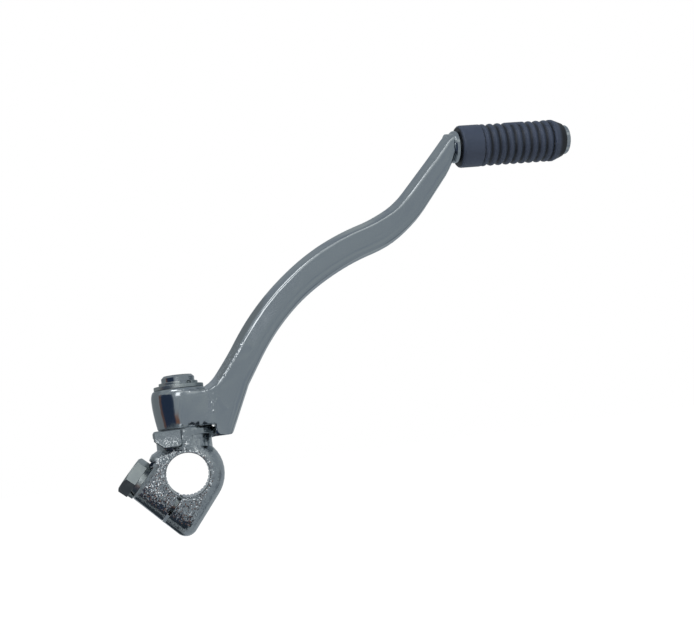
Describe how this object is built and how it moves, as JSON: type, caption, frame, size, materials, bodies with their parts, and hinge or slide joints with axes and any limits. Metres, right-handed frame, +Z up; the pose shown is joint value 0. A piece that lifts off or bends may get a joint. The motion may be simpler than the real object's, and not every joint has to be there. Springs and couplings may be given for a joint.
{
  "type": "kick start lever",
  "caption": "Folding kick start lever: split serrated clamp boss with an upright pivot pin, S-shaped chromed arm and a ribbed rubber foot peg.",
  "frame": {"origin": "centre of the shaft bore, on its axis and midway along it", "axes": "+Y along the shaft bore, towards the engine; +Z up along the pivot pin; +X the way the arm reaches when folded in"},
  "size_m": [0.1986, 0.0273, 0.1498],
  "materials": {
    "chrome": "polished chrome plate",
    "rough_chrome": "chrome plate over a rough forged skin",
    "zinc": "bright zinc plate",
    "hard_steel": "hardened steel",
    "rubber": "moulded rubber, satin"
  },
  "bodies": {
    "boss": {"crank_boss": "rough_chrome", "pinch_bolt": "zinc", "lock_washer": "zinc", "thrust_washer": "zinc", "retaining_ring": "zinc"},
    "lever": {"lever_arm": "chrome", "peg_rubber": "rubber", "detent_spring": "hard_steel"},
    "ball": {"detent_ball": "hard_steel"}
  },
  "joints": [
    {"name": "fold", "type": "hinge", "parent": "boss", "child": "lever", "pos_m": [0, 0, 0.0245], "axis": [0, 0, -1], "range_deg": [0, 54]},
    {"name": "ball_lift", "type": "slide", "parent": "lever", "child": "ball", "axis": [0, 0, 1], "range_m": [0, 0.0009], "stiffness_N_per_m": 1200, "springref_m": -0.002, "deforming": ["detent_spring"]}
  ]
}
